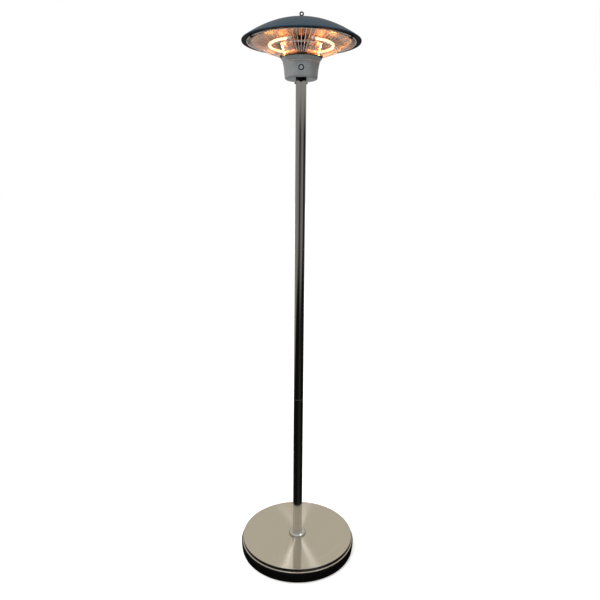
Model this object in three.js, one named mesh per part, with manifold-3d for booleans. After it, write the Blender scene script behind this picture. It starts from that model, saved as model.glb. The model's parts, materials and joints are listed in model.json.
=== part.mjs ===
// Outdoor electric heater: a lit reflector head on a slim pole with a weighted round base.
// Units are millimetres and +Z is up. The origin is on the floor, under the centre of the pole.
// The front of the heater, with the badge, faces -Y, and the supply cord enters at the rear, +Y.
import * as THREE from "three";
import { mergeVertices } from "three/addons/utils/BufferGeometryUtils.js";
import Module from "manifold-3d";

const wasm = await Module();
wasm.setup();

// ---------------------------------------------------------------- driving dimensions

const GAP = 0.3; // between pieces that touch
const LARGE = 40; // facets round a large turned piece
const BROAD = 36; // facets round the cup and the dish
const MEDIUM = 28;
const SMALL = 14;
const TINY = 10;
const BEAD = 8; // facets round a thin wire or lead

// Base
const PAD_RADIUS = 14;
const PAD_HEIGHT = 4;
const PAD_CIRCLE = 195;
const TUB_RADIUS = 234.5;
const TUB_FLOOR = PAD_HEIGHT + GAP;
const TUB_SHEET = 3;
const TUB_TOP = 49.4;
const TUB_SCREW_CIRCLE = 120;
const TUB_SCREW_TOP = 18;
const WEIGHT_RADIUS = 214;
const WEIGHT_TOP = 34;
const BOSS_RADIUS = 34;
const COVER_RADIUS = 227.5;
const COVER_TOP = 66;
const COVER_SHEET = 1;
const COVER_LIP_RADIUS = 231;
const COVER_HOLE = 14;
const SCREW_SHANK = 2.3;
const SCREW_HOLE = 2.7;
const FOOT_SCREW_CIRCLE = 26;
const FOOT_PLATE_RADIUS = 33;
const FOOT_PLATE_BOTTOM = COVER_TOP + GAP;
const FOOT_PLATE_TOP = FOOT_PLATE_BOTTOM + 3;
const FOOT_SOCKET_TOP = 130;
const FOOT_SOCKET_BORE = 13;
const FLANGE_RADIUS = 35.5;
const FLANGE_TOP = 76;
const LEAD_RADIUS = 3.5;
const LEAD_LEVEL = 40;
const LEAD_BEND = 28;
const LEAD_TOP = 1890;
const GROMMET_RADIUS = 9;
const GROMMET_HOLE = 6.5;

// Pole
const POLE_RADIUS = 19;
const POLE_BORE = 17.8;
const POLE_BOTTOM = FOOT_PLATE_TOP + GAP;
const POLE_TOP = 1868;
const POLE_SECTIONS = 3;
const COUPLER_LENGTH = 120;
const COUPLER_BORE = 14.5;
const COLLAR_FRONT = 54; // how far the collar's tongue reaches to the front
const COLLAR_HALF_WIDTH = 18;
const SPIGOT_RADIUS = 17.4;
const SPIGOT_BORE = 13.9;
const SPIGOT_BOTTOM = 1800;
const SPIGOT_TOP = 1886;

// Housing and the parts inside it
const CUP_BOTTOM = 1872;
const CUP_SHEET = 1.5;
const CUP_LIP_RADIUS = 71.2;
const CUP_LIP_TOP = 1943;
const SCREW_LEVEL = 1861;
const HEAD_SCREW_RADIUS = 3.6;
const BADGE_LEVEL = 1902.5;
const BADGE_RADIUS = 14;
const SWITCH_LEVEL = 1903;
const KNOB_RADIUS = 13;
const KNOB_BASE = 63.3;
const KNOB_DEPTH = 15;
const LID_BOTTOM = CUP_LIP_TOP + GAP;
const LID_TOP = LID_BOTTOM + 1.3;
const PENDULUM_X = -32;
const PENDULUM_PIVOT = 1936;
const PENDULUM_LENGTH = 18;

// Lamps and reflectors
const DRUM_BOTTOM = 1960.3;
const DRUM_TOP = 1990.5;
const LAMP_LEVEL = 1984;
const LAMP_CIRCLE = 113;
const LAMP_RADIUS = 4.2;
const LAMP_FRONT_GAP = 17; // degrees each side of the front
const LAMP_REAR_GAP = 11;
const DISH_RADIUS = 177;
const DISH_EDGE = 1997;
const DISH_DEPTH = 41;
const ROD_RADIUS = 3.9;
const ROD_HOLE = 4.4;

// Guard
const GUARD_INNER = [72.4, 1946.4]; // radius and height of each end of a wire
const GUARD_OUTER = [191, 1993];
const GUARD_RING_WIRE = 1.5;
const GUARD_WIRE = 1.2;
const GUARD_WIRES = 36; // every second one of the real guard's wires
const GUARD_MIDDLE_SHARE = 0.49; // place of the middle ring along a wire

// Shade and eye
const SHADE_RADIUS = 210;
const SHADE_EDGE = 1998;
const SHADE_HEIGHT = 72;
const SHADE_SHEET = 1.4;
const EYE_CENTRE = 2087.4;
const EYE_RADIUS = 5.7;
const EYE_WIRE = 2.4;
const EYE_FOOT_RADIUS = 8.2;

// ---------------------------------------------------------------- finishes: colour, roughness, metalness

const FINISH = {
  rubber: [0x18181a, 0.9, 0],
  black_plastic: [0x0c0c0c, 0.45, 0],
  cast_weight: [0x7c7a75, 0.95, 0],
  brushed_steel: [0xa39b8b, 0.32, 1],
  polished_steel: [0xa8a8a4, 0.14, 1],
  zinc: [0xb4b6b8, 0.4, 1],
  grey_paint: [0x8c9393, 0.45, 0.5],
  dark_paint: [0x48586a, 0.5, 0.2],
  black_paint: [0x101010, 0.5, 0.1],
  black_screw: [0x0a0a0a, 0.4, 0.4],
  badge: [0x1a1c1e, 0.35, 0.2],
  reflector: [0xd8d4cc, 0.12, 1],
  ceramic: [0xe6e0d4, 0.6, 0],
  lamp: [0xfff1cd, 0.2, 0],
  guard_wire: [0xc2c2c0, 0.25, 1],
  block: [0xded8c8, 0.6, 0],
  brass: [0xb08d4c, 0.35, 1],
};

// ---------------------------------------------------------------- helpers

const MERGE_DISTANCE = 1e-4;
const heater = new THREE.Group();

// Six times the volume enclosed by a triangle list: negative when its faces point inwards.
function signedVolume(positions, corners) {
  const [a, b, c] = [0, 1, 2].map(() => new THREE.Vector3());
  let sum = 0;
  for (let i = 0; i < corners.length; i += 3) {
    a.fromArray(positions, corners[i] * 3);
    b.fromArray(positions, corners[i + 1] * 3);
    c.fromArray(positions, corners[i + 2] * 3);
    sum += a.dot(b.cross(c));
  }
  return sum;
}

// A closed geometry as a solid that can be joined and cut.
function solid(geometry) {
  const bare = geometry.index ? geometry.toNonIndexed() : geometry.clone();
  bare.deleteAttribute("normal");
  bare.deleteAttribute("uv");
  const merged = mergeVertices(bare, MERGE_DISTANCE);
  const positions = merged.attributes.position.array;
  const all = merged.index.array;
  const corners = [];
  for (let i = 0; i < all.length; i += 3) {
    const [a, b, c] = all.slice(i, i + 3);
    if (a !== b && b !== c && c !== a) corners.push(a, b, c);
  }
  if (signedVolume(positions, corners) < 0) corners.reverse();
  const triVerts = new Uint32Array(corners);
  return new wasm.Manifold(new wasm.Mesh({ numProp: 3, vertProperties: positions, triVerts }));
}

function geometryOf(made) {
  const { vertProperties, triVerts } = made.getMesh();
  const geometry = new THREE.BufferGeometry();
  geometry.setAttribute("position", new THREE.BufferAttribute(new Float32Array(vertProperties), 3));
  geometry.setIndex(new THREE.BufferAttribute(new Uint32Array(triVerts), 1));
  geometry.computeVertexNormals();
  return geometry;
}

// Adds one named piece to the heater, moved to its place if it was made about the origin.
function piece(name, made, finish, place = new THREE.Matrix4()) {
  const [color, roughness, metalness] = FINISH[finish];
  const material = new THREE.MeshStandardMaterial({ color, roughness, metalness, flatShading: true });
  const mesh = new THREE.Mesh(geometryOf(made), material);
  mesh.name = name;
  mesh.applyMatrix4(place);
  heater.add(mesh);
}

// A place turned about +Z by some degrees, then moved to a point.
function turnedPlace(degrees, point = [0, 0, 0]) {
  return new THREE.Matrix4().makeRotationZ(radians(degrees)).setPosition(...point);
}

// Turns a list of [radius, height] points about +Z. It starts and ends on the axis, or closes on itself.
function turned(profile, segments) {
  const loop = profile[0][0] > 0 ? [...profile, profile[0]] : profile;
  const points = loop.map(([radius, height]) => new THREE.Vector2(radius, height));
  return solid(new THREE.LatheGeometry(points, segments).rotateX(Math.PI / 2));
}

function tube(outer, inner, bottom, top, segments) {
  return turned([[inner, bottom], [outer, bottom], [outer, top], [inner, top]], segments);
}

function box(low, high) {
  const size = high.map((value, i) => value - low[i]);
  const middle = high.map((value, i) => (value + low[i]) / 2);
  return solid(new THREE.BoxGeometry(...size).translate(...middle));
}

// A straight bar with a regular section from one point to another.
function bar(from, to, radius, sides, endRadius = radius) {
  const start = new THREE.Vector3(...from);
  const along = new THREE.Vector3(...to).sub(start);
  const turn = new THREE.Quaternion().setFromUnitVectors(
    new THREE.Vector3(0, 1, 0),
    along.clone().normalize(),
  );
  const middle = start.clone().addScaledVector(along, 0.5);
  const geometry = new THREE.CylinderGeometry(endRadius, radius, along.length(), sides);
  geometry.applyQuaternion(turn);
  geometry.translate(middle.x, middle.y, middle.z);
  return solid(geometry);
}

// A round bar that follows a curve.
function bent(curve, radius, sides, steps) {
  const section = new THREE.Shape();
  for (let i = 0; i < sides; i++) {
    const angle = (2 * Math.PI * i) / sides;
    const [x, y] = [radius * Math.cos(angle), radius * Math.sin(angle)];
    if (i === 0) section.moveTo(x, y);
    else section.lineTo(x, y);
  }
  return solid(new THREE.ExtrudeGeometry(section, { steps, bevelEnabled: false, extrudePath: curve }));
}

class Arc extends THREE.Curve {
  constructor(centre, from, to, radius, first, last) {
    super();
    Object.assign(this, { centre, from, to, radius, first, last });
  }
  getPoint(t, target = new THREE.Vector3()) {
    const angle = this.first + (this.last - this.first) * t;
    return target
      .copy(this.centre)
      .addScaledVector(this.from, this.radius * Math.cos(angle))
      .addScaledVector(this.to, this.radius * Math.sin(angle));
  }
}

const radians = (degrees) => (degrees * Math.PI) / 180;

// A point at a radius and a direction in degrees, where 0 is +X and 90 is +Y.
const polar = (radius, degrees, height) => [
  radius * Math.cos(radians(degrees)),
  radius * Math.sin(radians(degrees)),
  height,
];

// A wire ring about +Z with a square section, set on its corner.
function ring(radius, height, wire, segments) {
  const corners = [[wire, 0], [0, wire], [-wire, 0], [0, -wire]];
  return turned(corners.map(([r, z]) => [radius + r, height + z]), segments);
}

// Heights of the shade's outside and of the dish's underside at a radius.
const shadeHeight = (radius) => SHADE_EDGE + SHADE_HEIGHT * (1 - (radius / SHADE_RADIUS) ** 2);
const dishHeight = (radius) => DISH_EDGE + DISH_DEPTH * (1 - (radius / DISH_RADIUS) ** 2);

// ---------------------------------------------------------------- base

const footScrewPlaces = [30, 150, 270].map((degrees) => polar(FOOT_SCREW_CIRCLE, degrees, 0));
const tubScrewPlaces = [0, 120, 240].map((degrees) => polar(TUB_SCREW_CIRCLE, degrees, 0));

function drill(made, places, radius, bottom, top) {
  return places.reduce(
    (left, [x, y]) => left.subtract(bar([x, y, bottom], [x, y, top], radius, TINY)),
    made,
  );
}

for (let i = 0; i < 4; i++) {
  const [x, y] = polar(PAD_CIRCLE, 45 + 90 * i, 0);
  piece(`foot_pad_${i + 1}`, bar([x, y, 0], [x, y, PAD_HEIGHT], PAD_RADIUS - 1.5, SMALL, PAD_RADIUS), "rubber");
}

const tubProfile = [
  [0, TUB_FLOOR],
  [TUB_RADIUS - 11, TUB_FLOOR],
  [TUB_RADIUS - 5.5, 7.5],
  [TUB_RADIUS - 3, 13],
  [TUB_RADIUS - 0.8, 28],
  [TUB_RADIUS, 40],
  [TUB_RADIUS, 46],
  [TUB_RADIUS - 1.8, TUB_TOP],
  [TUB_RADIUS - 7, TUB_TOP],
  [TUB_RADIUS - 9.2, 46],
  [TUB_RADIUS - 9.4, 14],
  [TUB_RADIUS - 13, TUB_FLOOR + TUB_SHEET],
  [0, TUB_FLOOR + TUB_SHEET],
];
const grommetHole = bar(
  [0, TUB_RADIUS - 20, LEAD_LEVEL],
  [0, TUB_RADIUS + 5, LEAD_LEVEL],
  GROMMET_HOLE,
  SMALL,
);
const tub = turned(tubProfile, LARGE).subtract(grommetHole);
piece("base_tub", drill(tub, tubScrewPlaces, SCREW_HOLE, 0, 12), "black_plastic");

tubScrewPlaces.forEach(([x, y], i) => {
  const head = bar([x, y, 1.6], [x, y, TUB_FLOOR - GAP], 4.5, TINY);
  const shank = bar([x, y, 3], [x, y, TUB_SCREW_TOP], SCREW_SHANK, TINY);
  piece(`tub_screw_${i + 1}`, head.add(shank), "zinc");
});

const weightBottom = TUB_FLOOR + TUB_SHEET + GAP;
const bossTop = COVER_TOP - COVER_SHEET - GAP;
const weightProfile = [
  [0, weightBottom],
  [WEIGHT_RADIUS - 4, weightBottom],
  [WEIGHT_RADIUS, weightBottom + 4],
  [WEIGHT_RADIUS, WEIGHT_TOP - 2],
  [WEIGHT_RADIUS - 2, WEIGHT_TOP],
  [BOSS_RADIUS + 6, WEIGHT_TOP],
  [BOSS_RADIUS, WEIGHT_TOP + 6],
  [BOSS_RADIUS, bossTop],
  [0, bossTop],
];
const leadSlot = box([-6, -6, WEIGHT_TOP], [6, BOSS_RADIUS + 8, COVER_TOP]);
const slottedWeight = turned(weightProfile, MEDIUM).subtract(leadSlot);
const weight = drill(slottedWeight, footScrewPlaces, SCREW_HOLE, 46, COVER_TOP);
piece("base_weight", drill(weight, tubScrewPlaces, SCREW_HOLE, 0, TUB_SCREW_TOP + 4), "cast_weight");

const coverProfile = [
  [COVER_HOLE, COVER_TOP],
  [COVER_RADIUS - 1.4, COVER_TOP],
  [COVER_RADIUS - 0.3, COVER_TOP - 0.6],
  [COVER_RADIUS, COVER_TOP - 2],
  [COVER_RADIUS + 0.2, 54.8],
  [COVER_RADIUS + 1.3, 52.4],
  [COVER_LIP_RADIUS, 51],
  [COVER_LIP_RADIUS, TUB_TOP + 0.5],
  [COVER_RADIUS + 0.8, TUB_TOP + 1.1],
  [COVER_RADIUS - 0.8, 53.6],
  [COVER_RADIUS - 1, COVER_TOP - 2],
  [COVER_RADIUS - 1.8, COVER_TOP - COVER_SHEET],
  [COVER_HOLE, COVER_TOP - COVER_SHEET],
];
piece("base_cover", drill(turned(coverProfile, LARGE), footScrewPlaces, SCREW_HOLE, 60, 70), "brushed_steel");

const socketOuter = POLE_BORE - 0.5;
const socketProfile = [
  [FOOT_SOCKET_BORE, FOOT_PLATE_BOTTOM],
  [FOOT_PLATE_RADIUS, FOOT_PLATE_BOTTOM],
  [FOOT_PLATE_RADIUS, FOOT_PLATE_TOP],
  [socketOuter, FOOT_PLATE_TOP],
  [socketOuter, FOOT_SOCKET_TOP],
  [FOOT_SOCKET_BORE, FOOT_SOCKET_TOP],
];
const poleFoot = drill(turned(socketProfile, MEDIUM), footScrewPlaces, SCREW_HOLE, 60, 75);
piece("pole_foot", poleFoot, "zinc");

footScrewPlaces.forEach(([x, y], i) => {
  const head = bar([x, y, FOOT_PLATE_TOP + GAP], [x, y, 72], 4.4, TINY, 3.6);
  const shank = bar([x, y, 50], [x, y, FOOT_PLATE_TOP + 1], SCREW_SHANK, TINY);
  piece(`foot_screw_${i + 1}`, head.add(shank), "zinc");
});

const flangeProfile = [
  [FLANGE_RADIUS, FOOT_PLATE_BOTTOM],
  [FLANGE_RADIUS, 68.6],
  [34.4, 72.2],
  [31.6, 74.8],
  [27, FLANGE_TOP - 0.2],
  [POLE_RADIUS + 0.5, FLANGE_TOP],
  [POLE_RADIUS + 0.5, FLANGE_TOP - 1.2],
  [26.8, FLANGE_TOP - 1.4],
  [30.8, 73.8],
  [33.3, 71.6],
  [34.3, 68.6],
  [34.3, FOOT_PLATE_BOTTOM],
];
piece("foot_flange", turned(flangeProfile, MEDIUM), "polished_steel");

const grommetProfile = [
  [LEAD_RADIUS + GAP, -12],
  [6.1, -12],
  [6.1, GAP],
  [GROMMET_RADIUS, GAP],
  [GROMMET_RADIUS, 2.4],
  [6, 4],
  [LEAD_RADIUS + GAP, 4],
];
const grommetPlace = new THREE.Matrix4().makeRotationX(-Math.PI / 2).setPosition(0, TUB_RADIUS, LEAD_LEVEL);
piece("cable_grommet", turned(grommetProfile, SMALL), "rubber", grommetPlace);

// The lead comes in at the rear, turns up through the boss and runs up the pole to the terminal block.
const [right, down] = [new THREE.Vector3(1, 0, 0), new THREE.Vector3(0, 0, -1)];
const [back, front] = [new THREE.Vector3(0, 1, 0), new THREE.Vector3(0, -1, 0)];
const bendCentre = new THREE.Vector3(0, LEAD_BEND, LEAD_LEVEL + LEAD_BEND);
const quarterTurn = new Arc(bendCentre, down, front, LEAD_BEND, -0.02, Math.PI / 2);
const topRun = new THREE.CatmullRomCurve3([
  new THREE.Vector3(0, 0, LEAD_TOP - 1),
  new THREE.Vector3(0, -2, LEAD_TOP + 8),
  new THREE.Vector3(0, -20, LEAD_TOP + 20),
  new THREE.Vector3(0, -31, LEAD_TOP + 31),
  new THREE.Vector3(0, -31.5, LEAD_TOP + 36),
]);
const lead = bar([0, LEAD_BEND, LEAD_LEVEL], [0, TUB_RADIUS + 2, LEAD_LEVEL], LEAD_RADIUS, BEAD)
  .add(bent(quarterTurn, LEAD_RADIUS, BEAD, 8))
  .add(bar([0, 0, LEAD_LEVEL + LEAD_BEND - 0.5], [0, 0, LEAD_TOP], LEAD_RADIUS, BEAD))
  .add(bent(topRun, LEAD_RADIUS, BEAD, 10));
piece("supply_lead", lead, "rubber");

// ---------------------------------------------------------------- pole

const sectionLength = (POLE_TOP - POLE_BOTTOM + GAP) / POLE_SECTIONS;
const headScrewHoles = bar([-30, 0, SCREW_LEVEL], [30, 0, SCREW_LEVEL], 2.2, TINY);
["lower_pole", "middle_pole", "upper_pole"].forEach((name, i) => {
  const bottom = POLE_BOTTOM + i * sectionLength;
  const section = tube(POLE_RADIUS, POLE_BORE, bottom, bottom + sectionLength - GAP, MEDIUM);
  piece(name, section.subtract(headScrewHoles), "polished_steel");
});

["lower_coupler", "upper_coupler"].forEach((name, i) => {
  const middle = POLE_BOTTOM + (i + 1) * sectionLength;
  const [bottom, top] = [middle - COUPLER_LENGTH / 2, middle + COUPLER_LENGTH / 2];
  piece(name, tube(POLE_BORE - GAP, COUPLER_BORE, bottom, top, MEDIUM), "zinc");
});

// The collar closes the gap between the pole and the housing, and its tongue reaches out to the front.
const collarBottom = POLE_TOP + GAP;
const collarTop = CUP_BOTTOM - GAP;
const collarRing = turned(
  [[0, collarBottom], [POLE_RADIUS - GAP, collarBottom], [POLE_RADIUS - GAP, collarTop], [0, collarTop]],
  MEDIUM,
);
const collarBore = bar([0, 0, POLE_TOP - 5], [0, 0, CUP_BOTTOM + 5], SPIGOT_RADIUS + GAP, MEDIUM);
const collarTongue = box([-COLLAR_HALF_WIDTH, -COLLAR_FRONT, collarBottom], [COLLAR_HALF_WIDTH, -4, collarTop]);
piece("pole_collar", collarRing.add(collarTongue).subtract(collarBore), "black_plastic");

const spigot = tube(SPIGOT_RADIUS, SPIGOT_BORE, SPIGOT_BOTTOM, SPIGOT_TOP, MEDIUM).subtract(headScrewHoles);
piece("head_spigot", spigot, "zinc");

const nutBottom = CUP_BOTTOM + CUP_SHEET + GAP;
const nutBore = bar([0, 0, nutBottom - 1], [0, 0, nutBottom + 9], SPIGOT_RADIUS + GAP, MEDIUM);
const spigotNut = bar([0, 0, nutBottom], [0, 0, nutBottom + 6], 24, 6).subtract(nutBore);
piece("spigot_nut", spigotNut, "zinc");

for (const [name, side] of [["head_screw_left", -1], ["head_screw_right", 1]]) {
  const at = (x) => [side * x, 0, SCREW_LEVEL];
  const face = POLE_RADIUS + GAP;
  const rim = bar(at(face), at(face + 2), HEAD_SCREW_RADIUS, TINY);
  const crown = bar(at(face + 1.9), at(face + 4.2), HEAD_SCREW_RADIUS, TINY, 2);
  piece(name, rim.add(crown).add(bar(at(SPIGOT_BORE + GAP), at(face + 1), 1.8, TINY)), "black_screw");
}

// ---------------------------------------------------------------- housing

// Outer wall of the cup as [radius, height]: from the edge of its flat bottom, past its bead, to its lip.
const cupBase = [[52.8, CUP_BOTTOM], [56.6, 1873.6], [58.3, 1877]];
const cupSide = [[59.1, 1886], [60.6, BADGE_LEVEL], [63.1, 1919]];
const cupBead = [[64.4, 1924.4], [64.9, 1925.8], [65, 1927.6]];
const cupWall = [...cupBase, ...cupSide, ...cupBead, [67.2, 1933.5]];
const cupInside = [...cupBase.slice(1), ...cupSide, [67.2, 1933.5]].map(([radius, height]) => [
  radius - CUP_SHEET,
  height + 0.4,
]);
const cupProfile = [
  [SPIGOT_RADIUS + GAP, CUP_BOTTOM],
  ...cupWall,
  [70.4, 1939.2],
  [CUP_LIP_RADIUS, 1941.4],
  [CUP_LIP_RADIUS - 0.5, CUP_LIP_TOP],
  [CUP_LIP_RADIUS - 2, CUP_LIP_TOP],
  [CUP_LIP_RADIUS - 2.4, 1940],
  ...cupInside.reverse(),
  [cupBase[0][0] - CUP_SHEET, CUP_BOTTOM + CUP_SHEET],
  [SPIGOT_RADIUS + GAP, CUP_BOTTOM + CUP_SHEET],
];
const switchHole = bar([0, 50, SWITCH_LEVEL], [0, 70, SWITCH_LEVEL], 6, SMALL);
piece("housing_cup", turned(cupProfile, BROAD).subtract(switchHole), "grey_paint");

const badgeBack = cupSide.map(([radius, height]) => [radius + GAP, height]);
const badgeFace = cupSide.map(([radius, height]) => [radius + 1.6, height]);
const badgeShell = turned([...badgeBack, ...badgeFace.reverse()], BROAD);
const badgeCutter = bar([0, -40, BADGE_LEVEL], [0, -80, BADGE_LEVEL], BADGE_RADIUS, MEDIUM);
piece("badge", badgeShell.intersect(badgeCutter), "badge");

const lid = tube(CUP_LIP_RADIUS - 1.2, ROD_HOLE, LID_BOTTOM, LID_TOP, MEDIUM);
const wireHoles = [[25, -12], [-25, -24]].map(([x, y]) => [x, y, 0]);
piece("housing_lid", drill(lid, wireHoles, 5, LID_BOTTOM - 1, LID_TOP + 1), "black_paint");

const underLid = LID_BOTTOM - GAP;
const terminalPockets = [-15, -5, 5, 15].map((x) => [x, -34, 0]);
const terminalBlock = box([-22, -40, 1927], [22, -23, underLid]);
piece("terminal_block", drill(terminalBlock, terminalPockets, 2.4, 1920, 1934), "block");

const cutoutBody = bar([32, 12, 1931], [32, 12, underLid], 9, SMALL);
const cutoutCap = bar([32, 12, 1928], [32, 12, 1932], 6, SMALL);
const cutoutTabs = box([28, -3, 1933], [36, 27, 1934]);
piece("thermal_cutout", cutoutBody.add(cutoutCap).add(cutoutTabs), "black_plastic");

const shaftRadius = 2.9;
const switchBody = box([-16, 26, SWITCH_LEVEL - 16], [16, 53, SWITCH_LEVEL + 16]);
const switchBush = bar([0, 52, SWITCH_LEVEL], [0, KNOB_BASE - GAP, SWITCH_LEVEL], 5.5, SMALL);
const shaftBore = bar([0, 38, SWITCH_LEVEL], [0, 70, SWITCH_LEVEL], shaftRadius + 0.4, SMALL);
piece("selector_switch", switchBody.add(switchBush).subtract(shaftBore), "block");

// The knob has a round skirt, a gripping bar and its shaft, which turns in the switch's bush.
const knobFace = KNOB_BASE + KNOB_DEPTH;
const knobSkirt = bar([0, KNOB_BASE, SWITCH_LEVEL], [0, KNOB_BASE + 5, SWITCH_LEVEL], KNOB_RADIUS, MEDIUM, 12);
const knobGrip = box([-3.2, KNOB_BASE + 2, SWITCH_LEVEL - 11.5], [3.2, knobFace, SWITCH_LEVEL + 11.5]);
const knobShaft = bar([0, 41, SWITCH_LEVEL], [0, KNOB_BASE + 1, SWITCH_LEVEL], shaftRadius, SMALL);
piece("selector_knob", knobSkirt.add(knobGrip).add(knobShaft), "black_plastic");

const caseHalf = 14;
const caseBack = -10;
const caseFront = 14;
const caseWall = 2;
const caseOuter = box(
  [PENDULUM_X - caseHalf, caseBack, PENDULUM_PIVOT - 31],
  [PENDULUM_X + caseHalf, caseFront, underLid],
);
const caseInner = box(
  [PENDULUM_X - caseHalf + caseWall, caseBack + caseWall, PENDULUM_PIVOT - 29],
  [PENDULUM_X + caseHalf - caseWall, caseFront + 1, underLid - caseWall],
);
const pivotBar = (radius, from, to) =>
  bar([PENDULUM_X, from, PENDULUM_PIVOT], [PENDULUM_X, to, PENDULUM_PIVOT], radius, SMALL);
piece("tilt_switch_case", caseOuter.subtract(caseInner).subtract(pivotBar(1.6, -20, 0)), "block");

const pinHead = pivotBar(2.6, 11, 12.5);
piece("tilt_switch_pin", pivotBar(1.2, caseBack, 11.5).add(pinHead), "zinc");

const bobLevel = PENDULUM_PIVOT - PENDULUM_LENGTH;
const bob = bar([PENDULUM_X, -4, bobLevel], [PENDULUM_X, 8, bobLevel], 5, SMALL);
const pendulumRod = bar([PENDULUM_X, 2, PENDULUM_PIVOT], [PENDULUM_X, 2, bobLevel], 1.3, 8);
const pendulum = pivotBar(3.4, -1, 5).add(pendulumRod).add(bob).subtract(pivotBar(1.6, -5, 8));
piece("tilt_pendulum", pendulum, "brass");

// ---------------------------------------------------------------- skirt, drum, lamps and dish

const skirtProfile = [
  [58, LID_TOP + GAP],
  [69.6, LID_TOP + GAP],
  [66.4, 1950],
  [63.6, 1955],
  [62.4, DRUM_BOTTOM - GAP],
  [61.6, DRUM_BOTTOM - GAP],
  [62.8, 1954.8],
  [65.6, 1949.6],
  [67.8, LID_TOP + 1.1],
  [58, LID_TOP + 1.1],
];
piece("reflector_skirt", turned(skirtProfile, MEDIUM), "reflector");

const drumProfile = [
  [62.6, DRUM_BOTTOM],
  [66, 1972],
  [70.4, 1984.5],
  [72, 1989],
  [71, DRUM_TOP],
  [ROD_HOLE, DRUM_TOP],
  [ROD_HOLE, DRUM_TOP - 0.8],
  [70.4, DRUM_TOP - 0.8],
  [71, 1988.8],
  [69.5, 1984.5],
  [65.2, 1972],
  [61.8, DRUM_BOTTOM],
];
piece("reflector_drum", turned(drumProfile, MEDIUM), "reflector");

const lampCentre = new THREE.Vector3(0, 0, LAMP_LEVEL);
const capLength = 13;
const capHalfDepth = 5.8;
const capTurn = (capLength / LAMP_CIRCLE) * (180 / Math.PI);
const capOverlap = 3; // degrees of the lamp that sit inside its cap
const frontEnd = LAMP_FRONT_GAP + capTurn - capOverlap;
const rearEnd = LAMP_REAR_GAP + capTurn - capOverlap;
const lampEnds = { lamp_left: [-90 - frontEnd, -270 + rearEnd], lamp_right: [-90 + frontEnd, 90 - rearEnd] };
for (const [name, [first, last]] of Object.entries(lampEnds)) {
  const path = new Arc(lampCentre, right, back, LAMP_CIRCLE, radians(first), radians(last));
  piece(name, bent(path, LAMP_RADIUS, 10, 26), "lamp");
}

// A ceramic cap is a block set along the lamp's circle, bored for the end of the lamp.
const capPlaces = [
  [-90 - LAMP_FRONT_GAP - capTurn / 2, -1],
  [-90 + LAMP_FRONT_GAP + capTurn / 2, 1],
  [90 + LAMP_REAR_GAP + capTurn / 2, 1],
  [90 - LAMP_REAR_GAP - capTurn / 2, -1],
];
const capHalf = 6.2;
const shelfTop = LAMP_LEVEL - capHalf - GAP;
capPlaces.forEach(([degrees, away], i) => {
  const block = box([-capLength / 2, -capHalfDepth, -capHalf], [capLength / 2, capHalfDepth, capHalf]);
  const bore = bar([away * (capLength / 2 - 6.5), 0, 0], [away * capLength, 0, 0], LAMP_RADIUS + 0.7, SMALL);
  const centre = polar(LAMP_CIRCLE, degrees, LAMP_LEVEL);
  piece(`lamp_cap_${i + 1}`, block.subtract(bore), "ceramic", turnedPlace(degrees + 90, centre));
});

// Each bracket is an upright plate on the drum with an arm out to a level strip that carries two caps.
const stripBottom = shelfTop - 1.3;
const stripInside = LAMP_CIRCLE - 13;
const stripOutside = LAMP_CIRCLE + 1;
for (const [name, degrees, halfStrip] of [["front_lamp_bracket", 180, 50], ["rear_lamp_bracket", 0, 40]]) {
  const upright = box([-16, 74.7, 1966], [16, 76.2, 2000]);
  const arm = box([-6, 75, stripBottom], [6, stripInside + 2, shelfTop]);
  const strip = box([-halfStrip, stripInside, stripBottom], [halfStrip, stripOutside, shelfTop]);
  const stud = bar([0, 69.4, 1976], [0, 75, 1976], 3, TINY);
  piece(name, upright.add(arm).add(strip).add(stud), "zinc", turnedPlace(degrees));
}

const dishSteps = [50, 90, 125, 155, 168];
const dishUnder = dishSteps.map((radius) => [radius, dishHeight(radius)]);
const dishOver = dishSteps.map((radius) => [radius + 0.2, dishHeight(radius) + 0.8]);
const dishTop = dishHeight(20);
const dishProfile = [
  [ROD_HOLE, dishTop],
  [20, dishTop],
  ...dishUnder,
  [DISH_RADIUS - 1, DISH_EDGE],
  [DISH_RADIUS + 6, DISH_EDGE],
  [DISH_RADIUS + 6, DISH_EDGE + 0.8],
  [DISH_RADIUS - 0.8, DISH_EDGE + 0.8],
  ...dishOver.reverse(),
  [20, dishTop + 0.8],
  [ROD_HOLE, dishTop + 0.8],
];
piece("reflector_dish", turned(dishProfile, BROAD), "reflector");

const rodBottom = 1933;
const rodTop = 2074;
const nutHeight = 6.5;
piece("centre_rod", bar([0, 0, rodBottom], [0, 0, rodTop], ROD_RADIUS, SMALL), "zinc");

const rodNutBore = bar([0, 0, 1930], [0, 0, 1950], ROD_HOLE, SMALL);
const rodNut = bar([0, 0, underLid - nutHeight], [0, 0, underLid], 7.5, 6).subtract(rodNutBore);
piece("rod_nut", rodNut, "zinc");

const shadeUnderside = shadeHeight(10) - SHADE_SHEET;
piece("dish_spacer", tube(8, ROD_HOLE, DRUM_TOP + GAP, dishTop - GAP, SMALL), "reflector");
piece("shade_spacer", tube(8, ROD_HOLE, dishTop + 0.8 + GAP, shadeUnderside - GAP, SMALL), "zinc");

// ---------------------------------------------------------------- rim, guard, shade and eye

const rimOuter = SHADE_RADIUS - 2.2;
const rimTop = DISH_EDGE - GAP;
const rimProfile = [
  [DISH_RADIUS - 0.5, rimTop - 1.2],
  [DISH_RADIUS + 1, rimTop - 1.8],
  [rimOuter - 1.2, rimTop - 1.8],
  [rimOuter, rimTop - 1],
  [rimOuter, rimTop],
  [DISH_RADIUS - 0.5, rimTop],
];
piece("rim_ring", turned(rimProfile, LARGE), "black_paint");

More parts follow.
